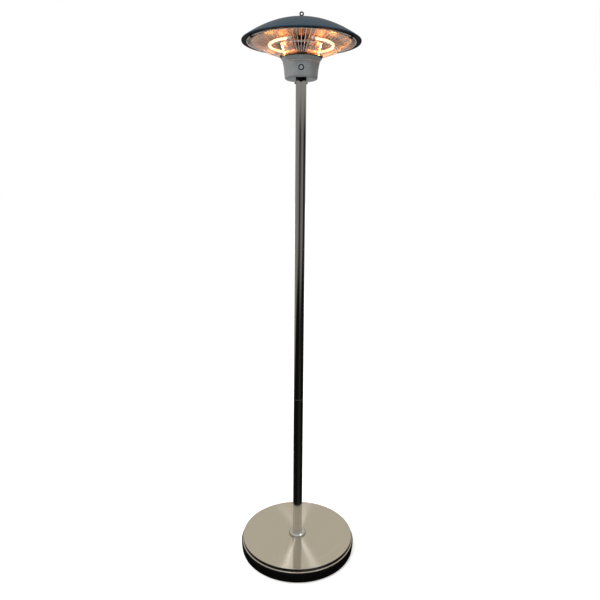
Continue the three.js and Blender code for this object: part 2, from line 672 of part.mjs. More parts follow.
const along = (share) => GUARD_INNER.map((value, i) => value + (GUARD_OUTER[i] - value) * share);
let guard = ring(...GUARD_INNER, GUARD_RING_WIRE, GUARD_WIRES);
guard = guard.add(ring(...along(GUARD_MIDDLE_SHARE), GUARD_RING_WIRE, GUARD_WIRES));
guard = guard.add(ring(...GUARD_OUTER, GUARD_RING_WIRE, GUARD_WIRES));
for (let i = 0; i < GUARD_WIRES; i++) {
  const degrees = (360 * i) / GUARD_WIRES;
  const ends = [GUARD_INNER, GUARD_OUTER].map(([radius, height]) => polar(radius, degrees, height));
  guard = guard.add(bar(...ends, GUARD_WIRE, 3));
}
piece("guard", guard, "guard_wire");

// A clip hangs from the rim ring and hooks under the outer ring of the guard.
[90, 210, 330].forEach((degrees, i) => {
  const [inside, outside] = [GUARD_OUTER[0] - 6, GUARD_OUTER[0] + 4];
  const clipTop = rimTop - 1.8 - GAP;
  const clipBottom = GUARD_OUTER[1] - GUARD_RING_WIRE - 2.4;
  const leg = box([outside - 1.2, -5, clipBottom], [outside, 5, clipTop]);
  const hook = box([inside, -5, clipBottom - 1.4], [outside, 5, clipBottom]);
  const tab = box([outside - 1.2, -5, clipTop - 1.2], [outside + 9, 5, clipTop]);
  piece(`guard_clip_${i + 1}`, leg.add(hook).add(tab), "black_paint", turnedPlace(degrees));
});

const shadeSteps = [10, 50, 90, 125, 155, 180, 197];
const shadeOutside = shadeSteps.map((radius) => [radius, shadeHeight(radius)]);
const shadeInside = shadeSteps.map((radius) => [radius - 0.6, shadeHeight(radius) - SHADE_SHEET]);
const shadeProfile = [
  [ROD_HOLE, shadeHeight(10)],
  ...shadeOutside,
  [SHADE_RADIUS - 0.6, SHADE_EDGE + 0.6],
  [SHADE_RADIUS, SHADE_EDGE - 1],
  [SHADE_RADIUS - 0.4, SHADE_EDGE - 3.2],
  [SHADE_RADIUS - 1.6, SHADE_EDGE - 3.2],
  [SHADE_RADIUS - 1.8, SHADE_EDGE - 0.2],
  ...shadeInside.reverse(),
  [ROD_HOLE, shadeHeight(10) - SHADE_SHEET],
];
piece("shade", turned(shadeProfile, LARGE), "dark_paint");

// The eye is a ring on a round foot that screws on to the end of the centre rod.
const footBase = shadeHeight(10) + GAP;
const eyeRing = solid(
  new THREE.TorusGeometry(EYE_RADIUS, EYE_WIRE, BEAD, 20).rotateX(Math.PI / 2).translate(0, 0, EYE_CENTRE),
);
const eyeFoot = turned(
  [
    [0, rodTop + GAP],
    [ROD_HOLE, rodTop + GAP],
    [ROD_HOLE, footBase],
    [EYE_FOOT_RADIUS, footBase],
    [EYE_FOOT_RADIUS, footBase + 8],
    [EYE_FOOT_RADIUS - 1.4, footBase + 10.6],
    [4.6, EYE_CENTRE - EYE_RADIUS + 0.3],
    [0, EYE_CENTRE - EYE_RADIUS + 0.3],
  ],
  SMALL,
);
piece("hanging_eye", eyeRing.add(eyeFoot), "black_screw");

export default heater;
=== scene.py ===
"""Looks for a free-standing halogen patio heater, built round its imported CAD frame.

Profiles are in millimetres as (radius, height), from the centre of the pole and the floor.
Objects are in metres.
"""

import json
import math

import bmesh
import bpy
from mathutils import Matrix, Vector


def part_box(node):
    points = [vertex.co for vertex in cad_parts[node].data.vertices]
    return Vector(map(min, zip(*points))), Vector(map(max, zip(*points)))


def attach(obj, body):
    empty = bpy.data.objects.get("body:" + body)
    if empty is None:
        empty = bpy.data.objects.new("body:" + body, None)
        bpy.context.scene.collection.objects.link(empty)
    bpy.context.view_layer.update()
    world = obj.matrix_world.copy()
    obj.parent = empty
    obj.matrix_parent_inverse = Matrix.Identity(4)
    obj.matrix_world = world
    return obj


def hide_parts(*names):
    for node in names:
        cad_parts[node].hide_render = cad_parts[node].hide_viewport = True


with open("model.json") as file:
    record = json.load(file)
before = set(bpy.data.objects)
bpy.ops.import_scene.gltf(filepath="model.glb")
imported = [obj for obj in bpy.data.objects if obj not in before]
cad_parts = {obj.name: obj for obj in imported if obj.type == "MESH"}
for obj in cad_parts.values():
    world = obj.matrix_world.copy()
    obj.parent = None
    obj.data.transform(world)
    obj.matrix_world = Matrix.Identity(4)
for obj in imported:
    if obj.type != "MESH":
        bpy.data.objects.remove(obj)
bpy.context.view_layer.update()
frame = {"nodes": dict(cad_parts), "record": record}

MM = 0.001
moved = Matrix.Translation
TAU = 2 * math.pi
UP = Vector((0, 0, 1))

ROUND = 160        # facets round the base, the shade and the reflectors
TUBE = 64          # facets round the pole and its fittings
SMALL = 32         # facets round screws and other small turned parts
ARC_STEP = math.radians(15)
SHARP = math.radians(38)
MERGE = 1e-6
GAP = 0.3          # between parts that touch

# ------------ camera

LENS_MM = 32.74
SENSOR_MM = 36
CAMERA_PLACE = (0.0028, -2.0578, 1.5124)
CAMERA_DIP = math.radians(12.06)
CAMERA_ROLL = math.radians(0.5)


def show(thing):
    bpy.context.scene.collection.objects.link(thing)


def place_camera():
    data = bpy.data.cameras.new("camera")
    data.lens = LENS_MM
    data.sensor_width = SENSOR_MM
    data.clip_end = 60
    camera = bpy.data.objects.new("camera", data)
    turn = Matrix.Rotation(math.pi / 2 - CAMERA_DIP, 4, "X") @ Matrix.Rotation(CAMERA_ROLL, 4, "Z")
    camera.matrix_world = moved(CAMERA_PLACE) @ turn
    show(camera)
    bpy.context.scene.camera = camera
    bpy.context.scene.view_settings.view_transform = "Standard"


place_camera()

# ------------ profiles


def rounded(corners, closed=True):
    """The outline through corners (r, z) or (r, z, fillet), with an arc where there is a fillet."""
    outline = []
    count = len(corners)
    for i, (r, z, *fillet) in enumerate(corners):
        here = Vector((r, z))
        if not fillet or (not closed and i in (0, count - 1)):
            outline.append(here)
            continue
        back = Vector(corners[i - 1][:2]) - here
        ahead = Vector(corners[(i + 1) % count][:2]) - here
        half = back.angle(ahead) / 2
        reach = min(fillet[0] / math.tan(half), 0.48 * back.length, 0.48 * ahead.length)
        start = here + back.normalized() * reach
        end = here + ahead.normalized() * reach
        steps = max(2, math.ceil((math.pi - 2 * half) / ARC_STEP))
        for step in range(steps + 1):
            t = step / steps
            outline.append(start * (1 - t) ** 2 + here * 2 * t * (1 - t) + end * t * t)
    return outline


def flowing(points, steps=6):
    """A smooth outline through all the points."""
    points = [Vector(p) for p in points]
    ends = [2 * points[0] - points[1], *points, 2 * points[-1] - points[-2]]
    outline = []
    for a, b, c, d in zip(ends, ends[1:], ends[2:], ends[3:]):
        for step in range(steps):
            t = step / steps
            bend = (2 * a - 5 * b + 4 * c - d) * t**2
            twist = (3 * b - a - 3 * c + d) * t**3
            outline.append(0.5 * (2 * b + (c - a) * t + bend + twist))
    return outline + [points[-1]]


def sheet_section(outline, thickness):
    """The closed section of a sheet that follows an outline, with its thickness to the left of it."""
    outline = [Vector(p) for p in outline]
    inner = []
    for i, point in enumerate(outline):
        before = outline[max(i - 1, 0)]
        after = outline[min(i + 1, len(outline) - 1)]
        along = (after - before).normalized()
        inner.append(point + Vector((-along.y, along.x)) * thickness)
    return outline + inner[::-1]


def radius_at(outline, z):
    """The radius of an outline at a height, where it rises steadily."""
    for low, high in zip(outline, outline[1:]):
        if low.y <= z <= high.y:
            return low.x + (high.x - low.x) * (z - low.y) / (high.y - low.y)
    raise ValueError(f"the outline doesn't reach height {z}")


def span(node):
    """The lowest and the highest corner of a CAD node's box, in millimetres."""
    low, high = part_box(node)
    return low / MM, high / MM


def reach(node):
    """The outer radius, lowest point and highest point of a turned CAD node, in millimetres."""
    low, high = span(node)
    return high.x, low.z, high.z


def middle(node):
    """The centre of a CAD node's box, in millimetres."""
    low, high = span(node)
    return (low + high) / 2


# ------------ solids


class Shape:
    """The vertices and faces of one piece in millimetres, from turned, swept and block parts."""

    def __init__(self):
        self.points = []
        self.faces = []

    def add(self, points, faces):
        first = len(self.points)
        self.points += [Vector(p) for p in points]
        self.faces += [[first + i for i in face] for face in faces]

    def turn(self, outline, segments, place=Matrix()):
        """A closed section turned about the axis."""
        points = []
        rings = []
        for r, z in outline:
            at = len(points)
            if r < 1e-4:
                points.append(place @ Vector((0, 0, z)))
                rings.append([at] * segments)
                continue
            for k in range(segments):
                angle = TAU * k / segments
                points.append(place @ Vector((r * math.cos(angle), r * math.sin(angle), z)))
            rings.append(list(range(at, at + segments)))
        faces = []
        for low, high in zip(rings, rings[1:] + rings[:1]):
            for k in range(segments):
                n = (k + 1) % segments
                corners = [low[k], low[n], high[n], high[k]]
                face = [c for i, c in enumerate(corners) if c != corners[i - 1]]
                if len(face) > 2:
                    faces.append(face)
        self.add(points, faces)

    def sweep(self, path, radius, sides, closed=False):
        """A round bar along a path; radius is a number, or a list with one for each point."""
        path = [Vector(p) for p in path]
        count = len(path)
        radii = radius if isinstance(radius, list) else [radius] * count
        side = None
        rings = []
        points = []
        for i, here in enumerate(path):
            before = path[i - 1] if i or closed else here
            after = path[(i + 1) % count] if i < count - 1 or closed else here
            along = (after - before).normalized()
            if side is None:
                side = along.orthogonal()
            side = (side - along * side.dot(along)).normalized()
            across = along.cross(side)
            rings.append(list(range(len(points), len(points) + sides)))
            for k in range(sides):
                angle = TAU * k / sides
                points.append(here + (side * math.cos(angle) + across * math.sin(angle)) * radii[i])
        faces = []
        for low, high in zip(rings, rings[1:]):
            for k in range(sides):
                n = (k + 1) % sides
                faces.append([low[k], low[n], high[n], high[k]])
        if closed:
            last = rings[-1]
            first = rings[0]
            gaps = [sum((points[last[k]] - points[first[(k + s) % sides]]).length for k in range(sides))
                    for s in range(sides)]
            shift = gaps.index(min(gaps))
            for k in range(sides):
                faces.append([last[k], last[(k + 1) % sides],
                              first[(k + 1 + shift) % sides], first[(k + shift) % sides]])
        else:
            faces.append(rings[0][::-1])
            faces.append(rings[-1])
        self.add(points, faces)

    def block(self, size, bevel, place=Matrix(), segments=3):
        """A box with rounded edges, centred on place."""
        mesh = bmesh.new()
        bmesh.ops.create_cube(mesh, size=1)
        bmesh.ops.scale(mesh, vec=size, verts=mesh.verts)
        bmesh.ops.bevel(mesh, geom=mesh.edges[:], offset=bevel, segments=segments, profile=0.5,
                        affect="EDGES")
        mesh.verts.index_update()
        self.add([place @ v.co for v in mesh.verts], [[v.index for v in f.verts] for f in mesh.faces])
        mesh.free()

    def made(self, name, finish, slot, replaced=(), body="root"):
        """The finished object: in metres, faces turned outwards, smooth but for its sharp edges."""
        data = bpy.data.meshes.new(name)
        data.from_pydata([p * MM for p in self.points], [], self.faces)
        mesh = bmesh.new()
        mesh.from_mesh(data)
        bmesh.ops.remove_doubles(mesh, verts=mesh.verts, dist=MERGE)
        bmesh.ops.recalc_face_normals(mesh, faces=mesh.faces)
        mesh.to_mesh(data)
        mesh.free()
        data.shade_smooth()
        data.set_sharp_from_angle(angle=SHARP)
        data.materials.append(finish)
        made = bpy.data.objects.new(name, data)
        show(made)
        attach(made, body)
        if replaced:
            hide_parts(*replaced)
        return made


def cut(target, cutter, crossing=False):
    """Cuts one object's shape out of another and drops it; crossing says that its parts cross."""
    boolean = target.modifiers.new("cut", "BOOLEAN")
    boolean.operation = "DIFFERENCE"
    boolean.use_self = crossing
    boolean.object = cutter
    bpy.context.view_layer.update()
    evaluated = target.evaluated_get(bpy.context.evaluated_depsgraph_get())
    result = bpy.data.meshes.new_from_object(evaluated)
    target.modifiers.remove(boolean)
    target.data = result
    bpy.data.objects.remove(cutter)


def turned(name, outline, finish, slot, replaced, segments):
    shape = Shape()
    shape.turn(outline, segments)
    return shape.made(name, finish, slot, replaced)


def facing(x, y, z, direction):
    """A place at a point, with its own Z along a direction."""
    return moved((x, y, z)) @ Vector(direction).to_track_quat("Z", "Y").to_matrix().to_4x4()


# ------------ finishes


class Finish:
    """One Principled material, with short calls that add procedural detail. Lengths are in metres."""

    def __init__(self, name, colour, roughness, metallic=0.0, **sockets):
        self.material = bpy.data.materials.new(name)
        self.material.use_nodes = True
        self.tree = self.material.node_tree
        self.shader = self.tree.nodes["Principled BSDF"]
        self.shader.inputs["Base Color"].default_value = (*colour, 1)
        self.shader.inputs["Roughness"].default_value = roughness
        self.shader.inputs["Metallic"].default_value = metallic
        for socket, value in sockets.items():
            label = socket.replace("_", " ").title().replace("Ior", "IOR")
            self.shader.inputs[label].default_value = value
        self.place = self.node("ShaderNodeTexCoord").outputs["Object"]
        self.normal = None

    def node(self, kind, inputs=None, **settings):
        made = self.tree.nodes.new(kind)
        for key, value in settings.items():
            setattr(made, key, value)
        for key, value in (inputs or {}).items():
            if isinstance(value, bpy.types.NodeSocket):
                self.tree.links.new(value, made.inputs[key])
            else:
                made.inputs[key].default_value = value
        return made

    def sum(self, operation, a, b=0.0):
        return self.node("ShaderNodeMath", {0: a, 1: b}, operation=operation).outputs[0]

    def split(self, vector):
        return self.node("ShaderNodeSeparateXYZ", {0: vector}).outputs

    def scaled(self, vector, scale):
        return self.node("ShaderNodeMapping", {"Vector": vector, "Scale": scale}).outputs[0]

    def round_axis(self):
        """Radius from the pole's axis, angle round it in turns, and height, as a vector."""
        x, y, z = self.split(self.place)
        squares = self.sum("ADD", self.sum("MULTIPLY", x, x), self.sum("MULTIPLY", y, y))
        radius = self.sum("SQRT", squares)
        angle = self.sum("DIVIDE", self.sum("ARCTAN2", y, x), TAU)
        return self.node("ShaderNodeCombineXYZ", {0: radius, 1: angle, 2: z}).outputs[0]

    def noise(self, vector, scale, detail=3.0, roughness=0.55):
        inputs = {"Vector": vector, "Scale": scale, "Detail": detail, "Roughness": roughness}
        return self.node("ShaderNodeTexNoise", inputs).outputs[0]

    def grain(self, *settings):
        return self.noise(self.place, *settings)

    def cells(self, scale):
        return self.node("ShaderNodeTexVoronoi", {"Vector": self.place, "Scale": scale}).outputs[0]

    def spread(self, value, low, high, start=0.3, end=0.7):
        """A value from start to end, stretched to run from low to high."""
        inputs = {"Value": value, "From Min": start, "From Max": end, "To Min": low, "To Max": high}
        return self.node("ShaderNodeMapRange", inputs).outputs[0]

    def blend(self, factor, first, second):
        """One colour turning into another as factor goes from 0 to 1."""
        mix = self.node("ShaderNodeMix", data_type="RGBA")
        for key, item in (("Factor_Float", factor), ("A_Color", first), ("B_Color", second)):
            socket = next(s for s in mix.inputs if s.identifier == key)
            if isinstance(item, bpy.types.NodeSocket):
                self.tree.links.new(item, socket)
            else:
                socket.default_value = (*item, 1)
        return next(s for s in mix.outputs if s.identifier == "Result_Color")

    def tint(self, value, dark, light):
        """Base colour from one shade to another as value goes from 0 to 1."""
        self.tree.links.new(self.blend(value, dark, light), self.shader.inputs["Base Color"])

    def rough(self, value, low, high):
        self.tree.links.new(self.spread(value, low, high), self.shader.inputs["Roughness"])

    def bump(self, value, height):
        """Raises the surface by up to height metres where value is 1."""
        inputs = {"Height": value, "Distance": height, "Strength": 1.0}
        if self.normal:
            inputs["Normal"] = self.normal
        self.normal = self.node("ShaderNodeBump", inputs).outputs[0]
        self.tree.links.new(self.normal, self.shader.inputs["Normal"])


def mixed(colour, other, share):
    return tuple(a + (b - a) * share for a, b in zip(colour, other))


def shaded(colour, factor):
    return tuple(min(value * factor, 1) for value in colour)


BLACK = (0, 0, 0)
WHITE = (1, 1, 1)


def powder_coat(name, colour, roughness, orange_peel=1.0, **sockets):
    """Baked powder coat: a fine orange-peel skin with a faint mottle."""
    finish = Finish(name, colour, roughness, **sockets)
    finish.tint(finish.spread(finish.grain(35), 0, 1), shaded(colour, 0.93), shaded(colour, 1.07))
    finish.rough(finish.grain(160, 4), roughness * 0.88, roughness * 1.15)
    finish.bump(finish.grain(900, 2), 0.00004 * orange_peel)
    return finish.material


def moulded(name, colour, roughness, **sockets):
    """Moulded plastic with a spark-eroded grain."""
    finish = Finish(name, colour, roughness, **sockets)
    finish.tint(finish.grain(60), shaded(colour, 0.8), shaded(colour, 1.2))
    finish.rough(finish.grain(300), roughness * 0.9, roughness * 1.15)
    finish.bump(finish.cells(1500), 0.00004)
    return finish.material


def rubber():
    finish = Finish("rubber", (0.012, 0.012, 0.013), 0.75)
    finish.tint(finish.grain(120), (0.008, 0.008, 0.009), (0.02, 0.02, 0.021))
    finish.bump(finish.grain(1200, 4), 0.00006)
    return finish.material


def cast_concrete():
    finish = Finish("cast_concrete", (0.3, 0.29, 0.27), 0.95)
    finish.tint(finish.grain(50, 8), (0.2, 0.19, 0.18), (0.38, 0.37, 0.34))
    finish.bump(finish.grain(140, 8), 0.0012)
    finish.bump(finish.cells(220), 0.0006)
    return finish.material


def circle_brushed():
    """Stainless sheet brushed in circles round the pole."""
    colour = (0.66, 0.62, 0.545)
    finish = Finish("circle_brushed", colour, 0.2, 1.0, anisotropic=1.0, anisotropic_rotation=0.25)
    turns = finish.round_axis()
    fine = finish.noise(finish.scaled(turns, (4200, 5, 400)), 1, 4, 0.7)
    broad = finish.noise(finish.scaled(turns, (420, 3, 60)), 1, 3)
    finish.tint(finish.spread(fine, 0, 1), shaded(colour, 0.9), shaded(colour, 1.08))
    finish.rough(broad, 0.12, 0.135)
    finish.bump(fine, 0.000002)
    tangent = finish.node("ShaderNodeTangent", direction_type="RADIAL", axis="Z")
    finish.tree.links.new(tangent.outputs[0], finish.shader.inputs["Tangent"])
    return finish.material


def polished_tube():
    """Stainless tube, ground lengthwise and polished."""
    colour = (0.62, 0.61, 0.585)
    finish = Finish("polished_tube", colour, 0.1, 1.0)
    turns = finish.round_axis()
    streaks = finish.noise(finish.scaled(turns, (1, 60, 2.2)), 1, 5, 0.65)
    haze = finish.noise(finish.scaled(turns, (1, 9, 8)), 1, 3)
    finish.tint(finish.spread(streaks, 0, 1), shaded(colour, 0.94), shaded(colour, 1.04))
    finish.rough(haze, 0.05, 0.09)
    finish.bump(streaks, 0.000012)
    return finish.material


def spun_aluminium(name, colour, roughness, dents):
    """Bright aluminium sheet, spun on a lathe and dulled a little by heat, with slight dents."""
    finish = Finish(name, colour, roughness, 0.97)
    turns = finish.round_axis()
    rings = finish.noise(finish.scaled(turns, (1900, 4, 1900)), 1, 3, 0.6)
    finish.tint(finish.grain(25), shaded(colour, 0.88), shaded(colour, 1.06))
    finish.rough(finish.grain(70), roughness * 0.8, roughness * 1.25)
    finish.bump(rings, 0.000015)
    finish.bump(finish.grain(28, 2), dents)
    return finish.material


def plated(name, colour, roughness, metallic=1.0):
    """Plated steel, a little uneven."""
    finish = Finish(name, colour, roughness, metallic)
    finish.tint(finish.grain(90, 5), shaded(colour, 0.82), shaded(colour, 1.1))
    finish.rough(finish.grain(240), roughness * 0.8, roughness * 1.3)
    finish.bump(finish.grain(700, 3), 0.00002)
    return finish.material


def guard_steel_and_painted_shade():
    """Bright guard wire; the inner ring and the ends welded to it are painted near-black: painted shade,
    for the shadow they lie in above the cup.
    """
    finish = Finish("guard_wire", (0.78, 0.77, 0.76), 0.28, 0.6)
    parts = finish.split(finish.round_axis())
    bright = finish.blend(finish.spread(finish.grain(90, 5), 0, 1), (0.66, 0.65, 0.64), (0.84, 0.83, 0.82))
    # Painted shade: near-black within about 75 mm of the axis, on the inner ring and the spoke ends.
    finish.tint(finish.spread(parts[0], 0, 1, 0.0745, 0.0765), (0.006, 0.006, 0.007), bright)
    finish.rough(finish.grain(240), 0.24, 0.36)
    finish.bump(finish.grain(700, 3), 0.00002)
    return finish.material


def dark_upright_zinc():
    """Zinc-plated strip whose uprights, behind the lamps' ends, are dark."""
    finish = Finish("dark_upright_zinc", (0.5, 0.5, 0.5), 0.4, 1.0)
    parts = finish.split(finish.place)
    out = finish.sum("ABSOLUTE", parts[1])
    wavy = finish.sum("ADD", out, finish.spread(finish.grain(90), -0.002, 0.002))
    # Dark where the strip is more than about 80 mm from the axis across the pole, on the uprights.
    finish.tint(finish.spread(wavy, 0, 1, 0.079, 0.085), (0.022, 0.024, 0.03), (0.55, 0.55, 0.56))
    finish.rough(finish.grain(240), 0.3, 0.5)
    finish.bump(finish.grain(700, 3), 0.00002)
    return finish.material


def ceramic():
    """Unglazed steatite, slightly stained by heat."""
    finish = Finish("ceramic", (0.8, 0.77, 0.7), 0.6)
    finish.tint(finish.grain(70, 6), (0.66, 0.6, 0.5), (0.86, 0.84, 0.79))
    finish.rough(finish.grain(300), 0.5, 0.75)
    finish.bump(finish.grain(1500, 4), 0.00005)
    return finish.material


def moulding():
    """Heat-proof moulding compound, flecked."""
    colour = (0.72, 0.69, 0.61)
    finish = Finish("moulding", colour, 0.5)
    finish.tint(finish.cells(900), shaded(colour, 0.75), shaded(colour, 1.1))
    finish.bump(finish.grain(900, 4), 0.00005)
    return finish.material


GLOW = (1.0, 0.82, 0.52)
GLOW_STRENGTH = 1.5
COIL_TURNS = 300


def glowing_quartz():
    """Quartz tube lit by its filament: the coil's turns show as fine bands."""
    finish = Finish("glowing_quartz", (0.9, 0.55, 0.3), 0.12)
    turns = finish.round_axis()
    parts = finish.split(turns)
    wave = finish.sum("SINE", finish.sum("MULTIPLY", parts[1], TAU * COIL_TURNS))
    patches = finish.noise(finish.scaled(turns, (1, 40, 1)), 1, 2)
    bands = finish.spread(wave, 0.8, 1.1, -1, 1)
    level = finish.sum("MULTIPLY", bands, finish.spread(patches, 0.85, 1.1))
    strength = finish.sum("MULTIPLY", level, GLOW_STRENGTH)
    finish.tree.links.new(strength, finish.shader.inputs["Emission Strength"])
    finish.shader.inputs["Emission Color"].default_value = (*GLOW, 1)
    return finish.material


def badge_lacquer(centre, radius):
    """Satin lacquer with a dark sunk ring round the badge's middle."""
    silver = (0.3, 0.33, 0.37)
    dark = (0.012, 0.014, 0.018)
    finish = Finish("badge_lacquer", silver, 0.3, 0.4, coat_weight=0.3)
    parts = finish.split(finish.place)
    across = finish.sum("POWER", finish.sum("SUBTRACT", parts[0], centre.x), 2)
    up = finish.sum("POWER", finish.sum("SUBTRACT", parts[2], centre.z), 2)
    share = finish.sum("DIVIDE", finish.sum("SQRT", finish.sum("ADD", across, up)), radius)
    ring = finish.sum("ABSOLUTE", finish.sum("SUBTRACT", share, 0.59))
    finish.tint(finish.spread(ring, 0, 1, 0.13, 0.17), dark, silver)
    finish.rough(finish.grain(500), 0.24, 0.36)
    finish.bump(finish.grain(1600, 2), 0.000006)
    return finish.material


RUBBER = rubber()
PLASTIC = moulded("black_plastic", (0.002, 0.002, 0.002), 0.5, specular_ior_level=0.04)
KNOB_PLASTIC = moulded("knob_plastic", (0.02, 0.02, 0.021), 0.38, specular_ior_level=0.45)
POINTER_PAINT = moulded("pointer_paint", (0.7, 0.7, 0.68), 0.45)
CONCRETE = cast_concrete()
BRUSHED = circle_brushed()
POLISHED = polished_tube()
ZINC = plated("zinc_plate", (0.62, 0.63, 0.65), 0.32)
GREY_COAT = powder_coat("silver_grey_coat", (0.43, 0.465, 0.48), 0.3, orange_peel=0.4, metallic=0.75)
SLATE_COAT = powder_coat("slate_coat", (0.015, 0.036, 0.058), 0.42, specular_ior_level=0.16)
ENAMEL = powder_coat("black_enamel", (0.007, 0.007, 0.008), 0.5, specular_ior_level=0.25)
DARK_UPRIGHT_ZINC = dark_upright_zinc()
# Dark aluminium for the sleeve between the drum and the dish.
DARK_ALUMINIUM = spun_aluminium("dark_aluminium", (0.3, 0.2, 0.15), 0.4, 0.0001)
BLACKENED = plated("blackened_steel", (0.05, 0.05, 0.055), 0.4)
REFLECTOR = spun_aluminium("reflector", (0.74, 0.64, 0.57), 0.23, 0.0006)
DRUM_METAL = spun_aluminium("drum_metal", (0.76, 0.71, 0.7), 0.27, 0.0002)
CERAMIC = ceramic()
QUARTZ = glowing_quartz()
GUARD_WIRE = guard_steel_and_painted_shade()
MOULDING = moulding()
BRASS = plated("brass", (0.7, 0.5, 0.22), 0.28)

FINISH_OF_SLOT = {
    "rubber": RUBBER,
    "black_plastic": PLASTIC,
    "cast_weight": CONCRETE,
    "brushed_steel": BRUSHED,
    "polished_steel": POLISHED,
    "zinc": ZINC,
    "grey_paint": GREY_COAT,
    "dark_paint": SLATE_COAT,
    "black_paint": ENAMEL,
    "black_screw": BLACKENED,
    "badge": GREY_COAT,
    "reflector": REFLECTOR,
    "ceramic": CERAMIC,
    "lamp": QUARTZ,
    "guard_wire": GUARD_WIRE,
    "block": MOULDING,
    "brass": BRASS,
}


def finish_cad_nodes():
    """Gives each CAD node the procedural finish of its material slot."""
    for part in frame["record"]["subparts"]:
        node = frame["nodes"][part["node"]]
        node.data.materials.clear()
        node.data.materials.append(FINISH_OF_SLOT[part["material_slot"]])


finish_cad_nodes()

# ------------ base


def make_feet():
    """Soft feet, dished underneath, with a screw well."""
    for i in range(1, 5):
        low, high = span(f"foot_pad_{i}")
        centre = (low + high) / 2
        radius = (high.x - low.x) / 2
        top = high.z
        outline = rounded([(0, 1.2), (3, 1.2, 0.5), (4, 0, 0.4), (radius - 0.6, 0, 1), (radius, 2, 1),
                           (radius - 1, top, 0.5), (0, top)])
        shape = Shape()
        shape.turn(outline, SMALL, moved((centre.x, centre.y, 0)))
        shape.made(f"foot_pad_{i}_soft", RUBBER, "rubber", [f"foot_pad_{i}"])


TUB_FLOOR = 3
LEAD_HOLE_RADIUS = 6.3


def make_tub():
    """The black tub, its rolled rim, and the stiffening rings pressed in its floor."""
    radius, low, high = reach("base_tub")
    floor = low + TUB_FLOOR
    outline = rounded([
        (0, low), (70, low), (74, low + 1.2, 1.5), (96, low + 1.2, 1.5), (100, low), (150, low),
        (154, low + 1.2, 1.5), (172, low + 1.2, 1.5), (176, low), (radius - 11, low, 4),
        (radius - 5.5, low + 3.2, 5), (radius - 3, low + 8.7, 6), (radius - 0.8, low + 23.7, 12),
        (radius, low + 36, 8), (radius, high - 3.2, 2), (radius - 1.8, high, 1.6), (radius - 7, high, 1.4),
        (radius - 9.2, high - 3.4, 1), (radius - 9.4, low + 9.7, 4), (radius - 13, floor, 3), (0, floor),
    ])
    tub = turned("tub", outline, PLASTIC, "black_plastic", ["base_tub"], ROUND)
    centre = middle("cable_grommet")
    hole = Shape()
    outline = [(0, -20), (LEAD_HOLE_RADIUS, -20), (LEAD_HOLE_RADIUS, 20), (0, 20)]
    hole.turn(outline, SMALL, facing(*centre, (0, 1, 0)))
    cut(tub, hole.made("tub_hole", PLASTIC, "black_plastic"))


def make_grommet():
    """A bush for the supply lead: a body through the tub wall, a flange on it and a short nose."""
    low, high = span("cable_grommet")
    centre = (low + high) / 2
    depth = (high.y - low.y)
    radius = (high.x - low.x) / 2
    wall = reach("base_tub")[0] - low.y
    outline = rounded([
        (4, 0, 0.3), (5.9, 0, 0.6), (5.9, wall + 0.3), (radius, wall + 0.3, 0.4),
        (radius, wall + 2.4, 0.9), (7, wall + 2.6, 0.3), (6.5, wall + 3.1, 0.3), (6.9, wall + 3.6, 0.3),
        (6.4, depth, 0.4), (4.1, depth, 0.4),
    ])
    shape = Shape()
    shape.turn(outline, SMALL, facing(centre.x, low.y, centre.z, (0, 1, 0)))
    shape.made("lead_bush", RUBBER, "rubber", ["cable_grommet"])


def make_cover():
    """The brushed cover: a flat top that rolls down to a drawn wall with a turned-out lip."""
    radius, low, high = reach("base_cover")
    edge = radius - 3.5
    outline = rounded([
        (14, high, 0.4), (edge, high, 2), (edge + 0.1, high - 13.2, 1.4), (edge + 1, high - 14.6, 1.2),
        (radius - 0.2, low + 0.9, 0.5), (radius, low, 0.3), (radius - 1.2, low, 0.3),
        (edge + 0.1, high - 15.2, 1.2), (edge - 1, high - 13.6, 1.4), (edge - 1.1, high - 1.1, 1.4),
        (14, high - 1.1, 0.4),
    ])
    turned("cover", outline, BRUSHED, "brushed_steel", ["base_cover"], ROUND)


def make_flange():
    """The polished bell that hides the pole's foot."""
    radius, low, high = reach("foot_flange")
    bore = reach("lower_pole")[0] + GAP
    outside = flowing([(radius, low + 0.9), (radius - 0.1, low + 2.3), (radius - 1.1, low + 5.9),
                       (radius - 3.9, low + 8.5), (radius - 8.5, low + 9.5), (bore + 0.7, high - 0.5)])
    section = [(radius - 0.5, low), *outside, (bore + 0.2, high), (bore, high - 0.4)]
    inside = rounded([(bore + 0.3, high - 1.3), (radius - 9, low + 8, 2), (radius - 4.6, low + 6.9, 1),
                      (radius - 1.4, low + 2, 1), (radius - 1.6, low)], closed=False)
    turned("foot_bell", section + inside, POLISHED, "polished_steel", ["foot_flange"], ROUND)


make_feet()
make_tub()
make_grommet()
make_cover()
make_flange()

# ------------ pole


POLE_WALL = 1.2


def make_pole():
    """Three tubes that meet at fine chamfered seams."""
    for name in ("lower_pole", "middle_pole", "upper_pole"):
        radius, low, high = reach(name)
        bore = radius - POLE_WALL
        outline = [(bore, low), (radius - 0.2, low), (radius, low + 0.2), (radius, high - 0.2),
                   (radius - 0.2, high), (bore, high)]
        turned(name + "_tube", outline, POLISHED, "polished_steel", [name], TUBE * 2)


